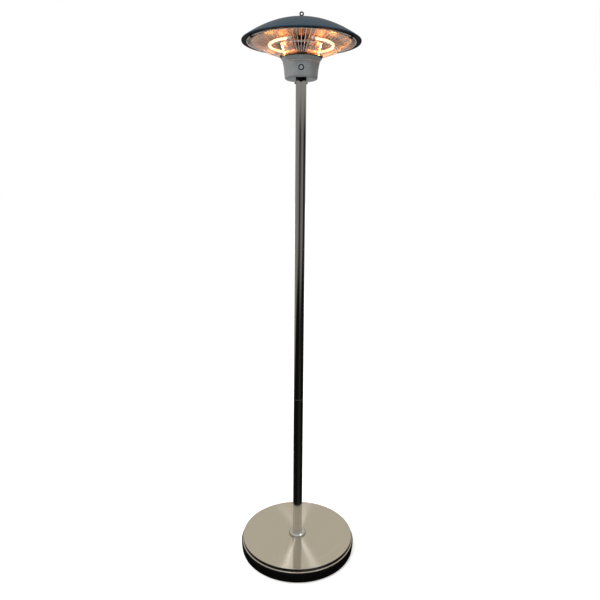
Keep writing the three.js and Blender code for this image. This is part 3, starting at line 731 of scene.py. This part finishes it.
def make_collar():
    """The black moulding between pole and housing: a ring, and a rounded tongue to the front. The ring is
    a real moulding; its black and the tongue are painted shade, for the dark where the pole enters the
    cup.
    """
    low, high = span("pole_collar")
    radius = high.y
    width = 2 * high.x - 1.4
    front = low.y
    bottom = low.z
    tall = (high.z - low.z)
    bore = reach("head_spigot")[0] + GAP
    outline = rounded([(bore, bottom, 0.2), (radius, bottom, 0.4), (radius, bottom + tall, 0.4),
                       (bore, bottom + tall, 0.2)])
    shape = Shape()
    shape.turn(outline, TUBE)
    length = -front - radius
    centre = front + length / 2
    # Painted shade: the black tongue reaches forward under the cup's floor, where there is only shade.
    shape.block((width, length, tall - 0.2), 1.2, moved((0, centre, bottom + tall / 2)))
    shape.block((width * 0.65, length * 0.6, 1.6), 0.6, moved((0, centre, bottom + 0.4)))
    shape.made("collar_moulding_and_painted_shade", PLASTIC, "black_plastic", ["pole_collar"])


def cross_head(name, place, radius, height, finish, slot, replaced):
    """A pan-head screw with a cross recess; place has its Z out of the surface."""
    dome = flowing([(radius, height * 0.25), (radius * 0.93, height * 0.62),
                    (radius * 0.68, height * 0.88), (radius * 0.3, height)])
    shape = Shape()
    shape.turn([(0, 0), (radius, 0), *dome, (0, height)], SMALL, place)
    head = shape.made(name, finish, slot, replaced)
    recess = Shape()
    slot_size = (radius * 1.25, radius * 0.3, height)
    top = place @ moved((0, 0, height))
    for quarter in (0, math.pi / 2):
        recess.block(slot_size, radius * 0.06, top @ Matrix.Rotation(quarter, 4, "Z"), 1)
    cut(head, recess.made("recess", finish, slot), crossing=True)


def make_screws():
    start = reach("upper_pole")[0] + GAP
    for side, name in ((-1, "head_screw_left"), (1, "head_screw_right")):
        low, high = span(name)
        radius = (high.z - low.z) / 2
        height = max(-low.x, high.x) - start
        place = facing(side * start, 0, middle(name).z, (side, 0, 0))
        cross_head(name + "_pan", place, radius, height, BLACKENED, "black_screw", [name])


make_pole()
make_collar()
make_screws()

# ------------ housing

CUP_SHEET = 1.5
CUP_WALL = 60               # from the axis of the pole to the wall behind the knob
SHAFT_HOLE_RADIUS = 5.8


def cup_outline():
    """The outside of the housing cup: rounded floor, near-straight wall, bead, flare and rolled lip."""
    radius, low, high = reach("housing_cup")
    hole = reach("head_spigot")[0] + GAP
    floor = rounded([(hole, low), (radius - 18.4, low, 3), (radius - 13.4, low + 2.6, 3.2),
                     (radius - 12.4, low + 9)], closed=False)
    wall = flowing([(radius - 12.1, low + 14), (radius - 10.6, low + 30.5), (radius - 8.1, low + 47),
                    (radius - 7.2, low + 51.6)])
    bead = flowing([(radius - 6.7, low + 52.3), (radius - 6.1, low + 53.6), (radius - 6.1, low + 54.8),
                    (radius - 6.5, low + 55.7)], 3)
    flare = flowing([(radius - 5.9, low + 57.5), (radius - 4, low + 61.5), (radius - 1.6, low + 65.8),
                     (radius - 0.5, low + 67.6)], 4)
    lip = flowing([(radius - 0.05, low + 68.6), (radius, low + 69.6), (radius - 0.4, high - 0.4),
                   (radius - 1.2, high)], 3)
    return floor + wall + bead + flare + lip


def make_cup():
    section = sheet_section(cup_outline(), CUP_SHEET)
    cup = turned("cup", section, GREY_COAT, "grey_paint", ["housing_cup"], ROUND)
    hole = Shape()
    knob = middle("selector_knob")
    outline = [(0, -30), (SHAFT_HOLE_RADIUS, -30), (SHAFT_HOLE_RADIUS, 30), (0, 30)]
    hole.turn(outline, SMALL, facing(knob.x, CUP_WALL, knob.z, (0, 1, 0)))
    cut(cup, hole.made("cup_hole", GREY_COAT, "grey_paint"))


# Share of the badge's radius, and how far it stands proud of the cup there.
BADGE_RINGS = (
    (0, 1.5), (0.2, 1.47), (0.36, 1.35), (0.42, 1.1), (0.44, 0.75), (0.74, 0.75), (0.76, 1.1),
    (0.8, 1.4), (0.88, 1.5), (0.95, 1.4), (1.0, 1.0), (1.0, 0.2), (0.5, 0.2), (0, 0.2),
)


def make_badge():
    """A plain round badge that follows the cup: a raised rim, a dark sunk ring and a domed middle."""
    low, high = span("badge")
    centre = (low + high) / 2
    radius = (high.x - low.x) / 2
    outline = cup_outline()
    points = []
    faces = []
    for share, proud in BADGE_RINGS:
        for k in range(TUBE):
            angle = TAU * k / TUBE
            x = radius * share * math.cos(angle)
            z = centre.z + radius * share * math.sin(angle)
            wall = radius_at(outline, z) + proud
            points.append(Vector((x, -math.sqrt(wall * wall - x * x), z)))
    for start in range(0, len(points) - TUBE, TUBE):
        for k in range(TUBE):
            n = (k + 1) % TUBE
            faces.append([start + k, start + n, start + TUBE + n, start + TUBE + k])
    shape = Shape()
    shape.add(points, faces)
    shape.made("badge_disc", badge_lacquer(centre * MM, radius * MM), "badge", ["badge"])


# The overhang lets the lid's black edge show below the skirt: painted shade, a dark line for the shadowed
# gap between cup and skirt.
LID_OVERHANG = 2.8
ROD_HOLE_RADIUS = 4.4       # for the rod that runs up through the head


def make_lid():
    """The lid, with its edge turned down over the lip of the cup. The lid is real; its black edge showing
    under the skirt is painted shade for the gap there.
    """
    radius, low, high = reach("housing_lid")
    edge = radius + LID_OVERHANG
    outline = rounded([
        (ROD_HOLE_RADIUS, low, 0.3), (radius + 1, low, 0.2), (radius + 1.5, low - 2, 0.2),
        (edge, low - 2, 0.4), (edge, high, 0.6), (radius - 4, high, 0.6), (radius - 7, high - 0.5, 0.6),
        (ROD_HOLE_RADIUS, high - 0.5, 0.3),
    ])
    turned("lid_disc", outline, ENAMEL, "black_paint", ["housing_lid"], ROUND)


KNOB_DEPTH = 15
KNOB_FLUTES = 24
GRIP_DEPTH = 12
SHAFT_RADIUS = 2.9
FLUTE_RADIUS = 0.9


def make_knob():
    """The selector knob: a shaft, a fluted skirt, a pinched grip and a raised, painted pointer."""
    low, high = span("selector_knob")
    centre = (low + high) / 2
    radius = (high.x - low.x) / 2
    base = high.y - KNOB_DEPTH
    place = facing(centre.x, base, centre.z, (0, 1, 0))
    outline = rounded([(0, 0), (radius - 0.8, 0, 0.5), (radius, 1, 0.5), (radius - 0.4, 4.4, 1.4),
                       (radius - 2.4, 5.2, 1), (0, 5.6)])
    shape = Shape()
    shape.turn(outline, TUBE, place)
    grip = place @ moved((0, 0, KNOB_DEPTH - GRIP_DEPTH / 2))
    shape.block((6.2, radius * 1.76, GRIP_DEPTH), 1.5, grip)
    shaft = [(centre.x, low.y, centre.z), (centre.x, base + 1, centre.z)]
    shape.sweep(shaft, SHAFT_RADIUS, 24)
    knob = shape.made("knob_cap", KNOB_PLASTIC, "black_plastic", ["selector_knob"], "knob")
    flutes = Shape()
    for k in range(KNOB_FLUTES):
        turn = Matrix.Rotation(TAU * (k + 0.5) / KNOB_FLUTES, 4, "Z")
        at = place @ turn @ moved((radius + 0.5, 0, 0))
        flutes.turn([(0, -1), (FLUTE_RADIUS, -1), (FLUTE_RADIUS, 4), (0, 4.6)], 10, at)
    cut(knob, flutes.made("knob_flutes", KNOB_PLASTIC, "black_plastic"))
    pointer = Shape()
    tip = place @ moved((0, radius * 0.55, KNOB_DEPTH))
    pointer.block((1.4, 7, 0.8), 0.3, tip)
    pointer.made("knob_pointer", POINTER_PAINT, "black_plastic", ["selector_knob"], "knob")


make_cup()
make_badge()
make_lid()
make_knob()

# ------------ reflectors and shade


DRUM_SHEET = 0.8
SKIRT_FOOT_RADIUS = 58


def make_skirt():
    """The flared ring between the lid and the drum, with its foot turned inwards."""
    radius, low, high = reach("reflector_skirt")
    wall = flowing([(radius - 0.4, low + 0.4), (radius - 3.2, low + 5.1), (radius - 6, low + 10.1),
                    (radius - 7.2, high)])
    outline = [(SKIRT_FOOT_RADIUS, low), (radius - 0.8, low), *wall]
    section = sheet_section(outline, DRUM_SHEET)
    turned("skirt", section, DRUM_METAL, "reflector", ["reflector_skirt"], ROUND)


def make_drum():
    """The drum behind the lamps, with a rolled shoulder and a flat top."""
    radius, low, high = reach("reflector_drum")
    wall = flowing([(radius - 9.4, low), (radius - 6, low + 11.7), (radius - 1.6, low + 24.2),
                    (radius - 0.3, low + 27.4)])
    shoulder = rounded([(radius, low + 28), (radius, high, 1.4), (radius - 6, high)], closed=False)
    section = sheet_section([*wall, *shoulder, (ROD_HOLE_RADIUS, high)], DRUM_SHEET)
    turned("drum", section, DRUM_METAL, "reflector", ["reflector_drum"], ROUND)


DISH_RIM = 177
DISH_RISE = 41
DISH_STEPS = 40
DISH_SHEET = 1.0


def make_dish():
    """The spun reflector over the lamps, with a rolled flange."""
    radius, low, high = reach("reflector_dish")
    top = low + DISH_RISE
    bowl = []
    for i in range(DISH_STEPS + 1):
        share = i / DISH_STEPS
        bowl.append(Vector((DISH_RIM * i / DISH_STEPS, top - DISH_RISE * share**2)))
    bowl[0].x = ROD_HOLE_RADIUS + 0.2
    flange = rounded([(DISH_RIM + 0.6, low, 0.6), (radius, low, 0.4)], closed=False)
    section = sheet_section(bowl + flange, DISH_SHEET)
    turned("dish", section, REFLECTOR, "reflector", ["reflector_dish"], ROUND)


RIM_BAND_BORE = 176.6


def make_rim_ring():
    radius, low, high = reach("rim_ring")
    outline = rounded([(RIM_BAND_BORE, low, 0.5), (radius, low, 0.7), (radius, high, 0.6),
                       (RIM_BAND_BORE, high, 0.5)])
    turned("rim_band", outline, ENAMEL, "black_paint", ["rim_ring"], ROUND)


SHADE_RISE = 72
SHADE_STEPS = 48
SHADE_SHEET = 1.4
EYE_HOLE_RADIUS = 5.2


def make_shade():
    """The shade: a shallow dome with a rolled hem."""
    radius, low, high = reach("shade")
    outline = [(radius, low + 0.9), (radius - 0.3, low)]
    for i in range(SHADE_STEPS + 1):
        share = 1 - i / SHADE_STEPS
        outline.append((max(radius * share, EYE_HOLE_RADIUS), high - SHADE_RISE * share**2))
    outline.sort(key=lambda p: p[1])
    section = sheet_section(outline, SHADE_SHEET)
    turned("dome", section, SLATE_COAT, "dark_paint", ["shade"], ROUND + 32)


SLEEVE_BORE = 4.2


def make_spacers():
    """The sleeves on the rod that hold the dish and the shade apart."""
    for name, finish, slot in (("dish_spacer", DARK_ALUMINIUM, "reflector"), ("shade_spacer", ZINC, "zinc")):
        radius, low, high = reach(name)
        outline = rounded([(SLEEVE_BORE, low, 0.2), (radius, low, 0.6), (radius, high, 0.6),
                           (SLEEVE_BORE, high, 0.2)])
        turned(name + "_sleeve", outline, finish, slot, [name], SMALL)


EYE_WIRE = 2.4
EYE_RING = 5.7
EYE_FOOT_RADIUS = 8.2


def make_eye():
    """The hanging eye: a ring that grows out of a round foot."""
    low, high = span("hanging_eye")
    centre = high.z - EYE_WIRE - EYE_RING
    foot = low.z
    radius = EYE_FOOT_RADIUS
    shape = Shape()
    circle = []
    for k in range(TUBE):
        angle = TAU * k / TUBE
        circle.append((EYE_RING * math.cos(angle), 0, centre + EYE_RING * math.sin(angle)))
    shape.sweep(circle, EYE_WIRE, 20, closed=True)
    flank = flowing([(radius, foot + 4), (radius - 0.3, foot + 6.4), (radius - 1.6, foot + 8.9),
                     (radius - 3.8, foot + 10.2), (radius - 5, foot + 10.6)])
    outline = [(ROD_HOLE_RADIUS, foot), (radius - 0.6, foot), (radius, foot + 0.6), *flank,
               (0, foot + 10.8), (0, foot + 4), (ROD_HOLE_RADIUS, foot + 4)]
    shape.turn(outline, SMALL)
    shape.made("eye", BLACKENED, "black_screw", ["hanging_eye"])


make_skirt()
make_drum()
make_dish()
make_rim_ring()
make_shade()
make_spacers()
make_eye()

# ------------ lamps

LAMP_CIRCLE = 113.0
LAMP_TUBE = 4.2
LAMP_FRONT_END = 20.6       # degrees from the front or the rear to the end of a lamp, inside its cap
LAMP_REAR_END = 14.6
LAMP_STEPS = 72


def arc_point(radius, degrees, z):
    """A point on a level circle; 0 degrees is to the right and 90 to the rear."""
    angle = math.radians(degrees)
    return Vector((radius * math.cos(angle), radius * math.sin(angle), z))


def make_lamps():
    """Two bent quartz tubes, narrowed at their ends."""
    for name, first, last in (("lamp_right", -90 + LAMP_FRONT_END, 90 - LAMP_REAR_END),
                              ("lamp_left", 270 - LAMP_FRONT_END, 90 + LAMP_REAR_END)):
        z = middle(name).z
        path = []
        for k in range(LAMP_STEPS + 1):
            path.append(arc_point(LAMP_CIRCLE, first + (last - first) * k / LAMP_STEPS, z))
        radii = [LAMP_TUBE] * len(path)
        for end, next_to_end in ((0, 1), (-1, -2)):
            radii[end] = LAMP_TUBE * 0.8
            radii[next_to_end] = LAMP_TUBE * 0.93
        shape = Shape()
        shape.sweep(path, radii, 20)
        shape.made(name + "_tube", QUARTZ, "lamp", [name])


def make_caps():
    """Ceramic end blocks with a step and a wire groove."""
    for i in range(1, 5):
        name = f"lamp_cap_{i}"
        at = middle(name)
        low, high = span(name)
        tall = (high.z - low.z)
        angle = math.atan2(at.y, at.x)
        place = moved(at) @ Matrix.Rotation(angle, 4, "Z")
        shape = Shape()
        shape.block((11.6, 13, tall), 1.1, place)
        cap = shape.made(name + "_block", CERAMIC, "ceramic", [name])
        grooves = Shape()
        for side in (-1, 1):
            grooves.block((20, 1.2, 2.4), 0.3, place @ moved((0, side * 3.2, tall / 2)), 1)
            grooves.block((1.4, 20, 2), 0.3, place @ moved((side * 5.8, 0, -tall / 4)), 1)
        cut(cap, grooves.made("cap_grooves", CERAMIC, "ceramic"))


BRACKET_SHEET = 1.3
UPRIGHT_OFFSET = 6.05       # from the drum end of the bracket's stud to its upright
UPRIGHT_WIDTH = 32
ARM_WIDTH = 12
STRIP_WIDTH = 14
STUD_RADIUS = 3


def make_brackets():
    """Bent strips that carry the lamp ends: an upright with a bead, a stud, an arm and a level strip."""
    level = span("lamp_cap_1")[0].z - GAP - BRACKET_SHEET / 2
    for name, side in (("front_lamp_bracket", -1), ("rear_lamp_bracket", 1)):
        low, high = span(name)
        inner = min(abs(low.y), abs(high.y))
        outer = max(abs(low.y), abs(high.y))
        plate = inner + UPRIGHT_OFFSET
        middle_z = (low.z + high.z) / 2
        tall = high.z - low.z
        arm = outer - STRIP_WIDTH + 2 - plate
        stud = low.z + 10
        at_upright = moved((0, side * plate, middle_z))
        at_arm = moved((0, side * (plate + arm / 2), level))
        at_strip = moved((0, side * (outer - STRIP_WIDTH / 2), level))
        shape = Shape()
        shape.block((UPRIGHT_WIDTH, 1.5, tall), 0.6, at_upright)
        shape.block((5, 2.4, tall - 8), 1.1, at_upright)
        shape.block((ARM_WIDTH, arm, BRACKET_SHEET), 0.5, at_arm)
        shape.block((2 * high.x, STRIP_WIDTH, BRACKET_SHEET), 0.5, at_strip)
        shape.sweep([(0, side * inner, stud), (0, side * (plate + 2.2), stud)], STUD_RADIUS, 16)
        shape.made(name + "_strip", DARK_UPRIGHT_ZINC, "zinc", [name])


make_lamps()
make_caps()
make_brackets()

# ------------ guard

GUARD_WIRES = 72
WIRE = 0.95
RING_WIRE = 1.2
RING_REACH = 1.5            # from the centre of a ring's section to the edge of the CAD guard's box
INNER_RING = 72.4
MIDDLE_RING_SHARE = 0.49    # of the way from the inner ring to the outer one


def guard_rings():
    """The centres of the inner, middle and outer ring in section, from the guard's box."""
    low, high = span("guard")
    outer = high.x - RING_REACH
    inner_z = low.z + RING_REACH
    outer_z = high.z - RING_REACH
    middle_ring = INNER_RING + (outer - INNER_RING) * MIDDLE_RING_SHARE
    middle_z = inner_z + (outer_z - inner_z) * MIDDLE_RING_SHARE
    return (INNER_RING, inner_z), (middle_ring, middle_z), (outer, outer_z)


def make_guard():
    """Fine spokes welded to three rings; each spoke hooks over the outer ring."""
    shape = Shape()
    inner, centre, outer = guard_rings()
    for r, z in (inner, centre, outer):
        ring = [(r * math.cos(TAU * k / ROUND), r * math.sin(TAU * k / ROUND), z) for k in range(ROUND)]
        shape.sweep(ring, RING_WIRE, 10, closed=True)
    lift = RING_WIRE + WIRE * 0.6
    for k in range(GUARD_WIRES):
        angle = TAU * k / GUARD_WIRES
        out = Vector((math.cos(angle), math.sin(angle), 0))
        section = [(inner[0] - 0.8, inner[1] + lift * 0.4), (inner[0] + 1.2, inner[1] + lift),
                   (centre[0], centre[1] + lift), (outer[0] - 3, outer[1] + lift * 0.2),
                   (outer[0] - 0.6, outer[1] + lift * 0.75), (outer[0] + 0.9, outer[1] + lift * 0.45)]
        shape.sweep([out * r + UP * z for r, z in section], WIRE, 7)
    shape.made("guard_cage", GUARD_WIRE, "guard_wire", ["guard"])


CLIP_WIDTH = 10


def make_clips():
    """Z-shaped clips: a tab on the rim band, a leg past the guard's outer ring and a hook under it."""
    leg = guard_rings()[2][0] + 3.4
    for i, degrees in ((1, 90), (2, 210), (3, 330)):
        name = f"guard_clip_{i}"
        low, high = span(name)
        bottom = low.z
        top = high.z
        turn = Matrix.Rotation(math.radians(degrees), 4, "Z")
        shape = Shape()
        at_leg = turn @ moved((leg, 0, (top + bottom) / 2))
        at_tab = turn @ moved((leg + 4.5, 0, top - 0.6))
        at_hook = turn @ moved((leg - 4.4, 0, bottom + 0.7))
        shape.block((1.2, CLIP_WIDTH, top - bottom), 0.35, at_leg)
        shape.block((10.2, CLIP_WIDTH, 1.2), 0.35, at_tab)
        shape.block((10, CLIP_WIDTH, 1.4), 0.35, at_hook)
        shape.made(name + "_fold", ENAMEL, "black_paint", [name])


make_guard()
make_clips()

# ------------ stage and light

# What polished parts mirror: the direction in degrees to the right of the camera, the light at eye
# level, the height in degrees where that light ends, and the light under it.
ROOM_PANELS = (
    (-180, 0.33, -22, 0.015),
    (-116, 0.35, -20.5, 0.014),
    (-74, 0.27, -12.5, 0.006),
    (-44, 0.29, -8.5, 0.006),
    (-30, 0.12, -8, 0.006),
    (-11, 0.03, -9, 0.008),
    (3, 0.06, -10, 0.014),
    (17, 0.2, -13, 0.03),
    (30, 0.18, -12, 0.02),
    (47, 0.3, -9, 0.02),
    (62, 0.14, -8, 0.01),
    (78, 0.012, -6, 0.002),
    (96, 0.01, -10, 0.004),
    (116, 0.09, -18, 0.02),
    (140, 0.06, -20, 0.015),
    (180, 0.33, -22, 0.015),
)
WARM = (1, 0.985, 0.95)
NEAR_SKY = (0.34, 0.335, 0.315)
SKY = (0.62, 0.585, 0.51)
CEILING = (0.5, 0.56, 0.63)
EDGE_BLUR = 0.05


def height_of(degrees):
    return math.sin(math.radians(degrees))


class Room(Finish):
    """The world's nodes: what polished parts mirror, and plain white behind the object."""

    def __init__(self):
        world = bpy.data.worlds.new("room")
        world.use_nodes = True
        bpy.context.scene.world = world
        self.tree = world.node_tree
        self.tree.nodes.clear()
        self.place = self.node("ShaderNodeTexCoord").outputs["Generated"]

    def ramp(self, value, stops):
        """A colour that runs through stops of (position, colour) as value goes from 0 to 1."""
        made = self.node("ShaderNodeValToRGB", {0: value})
        elements = made.color_ramp.elements
        elements.remove(elements[1])
        elements[0].position = stops[0][0]
        elements[0].color = (*stops[0][1], 1)
        for position, colour in stops[1:]:
            elements.new(position).color = (*colour, 1)
        return made.outputs[0]


def make_room():
    room = Room()
    parts = room.split(room.place)
    toward = room.sum("MULTIPLY", parts[1], -1.0)
    turn = room.sum("ADD", room.sum("DIVIDE", room.sum("ARCTAN2", parts[0], toward), TAU), 0.5)
    height = parts[2]
    light = []
    edge = []
    dark = []
    for degrees, level, lower_edge, under in ROOM_PANELS:
        position = degrees / 360 + 0.5
        light.append((position, mixed(BLACK, WARM, level)))
        edge.append((position, mixed(BLACK, WHITE, -height_of(lower_edge))))
        dark.append((position, mixed(BLACK, WARM, under)))
    above_edge = room.sum("ADD", height, room.ramp(turn, edge))
    share = room.spread(above_edge, 0, 1, -EDGE_BLUR, EDGE_BLUR)
    walls = room.blend(share, room.ramp(turn, dark), room.ramp(turn, light))
    sky = room.blend(room.spread(height, 0, 1, height_of(5), height_of(9)), walls, NEAR_SKY)
    sky = room.blend(room.spread(height, 0, 1, height_of(14), height_of(24)), sky, SKY)
    sky = room.blend(room.spread(height, 0, 1, height_of(50), height_of(75)), sky, CEILING)
    mirrored = room.node("ShaderNodeBackground", {"Color": sky, "Strength": 1.0})
    seen = room.node("ShaderNodeBackground", {"Color": (1, 1, 1, 1), "Strength": 1.0})
    path = room.node("ShaderNodeLightPath")
    either = {0: path.outputs["Is Camera Ray"], 1: mirrored.outputs[0], 2: seen.outputs[0]}
    mix = room.node("ShaderNodeMixShader", either)
    room.node("ShaderNodeOutputWorld", {"Surface": mix.outputs[0]})


def area_light(name, place, target, size, watts, diffuse=True, glossy=True, spread_degrees=180):
    data = bpy.data.lights.new(name, "AREA")
    data.shape = "DISK"
    data.size = size
    data.energy = watts
    data.spread = math.radians(spread_degrees)
    light = bpy.data.objects.new(name, data)
    light.location = place
    light.rotation_euler = (Vector(target) - Vector(place)).to_track_quat("-Z", "Y").to_euler()
    light.visible_diffuse = diffuse
    light.visible_glossy = glossy
    show(light)


EMBER = (1.0, 0.27, 0.05)
AMBER = (1.0, 0.45, 0.1)
LAMP_LIGHT_CIRCLE = 104
LAMP_LIGHT_RADIUS = 0.016
LAMP_LIGHTS = (             # degrees round the pole, watts and colour
    (-48, 0.04, EMBER),
    (-15, 0.1, EMBER),
    (20, 0.34, AMBER),
    (55, 0.13, EMBER),
    (125, 0.13, EMBER),
    (160, 0.34, AMBER),
    (195, 0.1, EMBER),
    (228, 0.04, EMBER),
)


def lamp_lights():
    """The warm light of the lamps, as small round lights just inside their circle."""
    level = middle("lamp_left").z
    for k, (degrees, watts, colour) in enumerate(LAMP_LIGHTS):
        data = bpy.data.lights.new(f"lamp_light_{k}", "POINT")
        data.energy = watts
        data.color = colour
        data.shadow_soft_size = LAMP_LIGHT_RADIUS
        light = bpy.data.objects.new(f"lamp_light_{k}", data)
        light.location = arc_point(LAMP_LIGHT_CIRCLE, degrees, level) * MM
        light.visible_camera = False
        show(light)


FLOOR_GLOW = 0.3
FLOOR_HALF = 40


def soft_sun(strength, direction, spread_degrees):
    """Even light over the whole floor, with soft shadows and no glint."""
    data = bpy.data.lights.new("soft_sun", "SUN")
    data.energy = strength
    data.angle = math.radians(spread_degrees)
    light = bpy.data.objects.new("soft_sun", data)
    light.rotation_euler = Vector(direction).to_track_quat("-Z", "Y").to_euler()
    light.visible_glossy = False
    show(light)


def make_floor():
    floor = Finish("pale_floor", (0.93, 0.93, 0.92), 0.9, emission_strength=FLOOR_GLOW)
    floor.shader.inputs["Emission Color"].default_value = (1, 1, 1, 1)
    floor.tint(floor.grain(3), (0.925, 0.925, 0.92), (0.935, 0.935, 0.93))
    corners = [(x * FLOOR_HALF, y * FLOOR_HALF, 0) for x, y in ((-1, -1), (1, -1), (1, 1), (-1, 1))]
    data = bpy.data.meshes.new("floor")
    data.from_pydata(corners, [], [[0, 1, 2, 3]])
    data.materials.append(floor.material)
    made = bpy.data.objects.new("floor", data)
    show(made)
    made.visible_glossy = False


make_room()
make_floor()
soft_sun(1.9, (0.25, 0.45, -1), 70)
area_light("soft_front", (-1.6, -3.6, 2.8), (0, 0, 1.0), 2.0, 75, glossy=False)
# Two small lights overhead draw the pale fans on the brushed cover.
COVER_TOP = (0, 0, 0.066)
for side, across in (("right", 1.5), ("left", -0.9)):
    area_light("streak_" + side, (across, 0.0, 5.2), COVER_TOP, 0.06, 1.2, diffuse=False, spread_degrees=9)
lamp_lights()
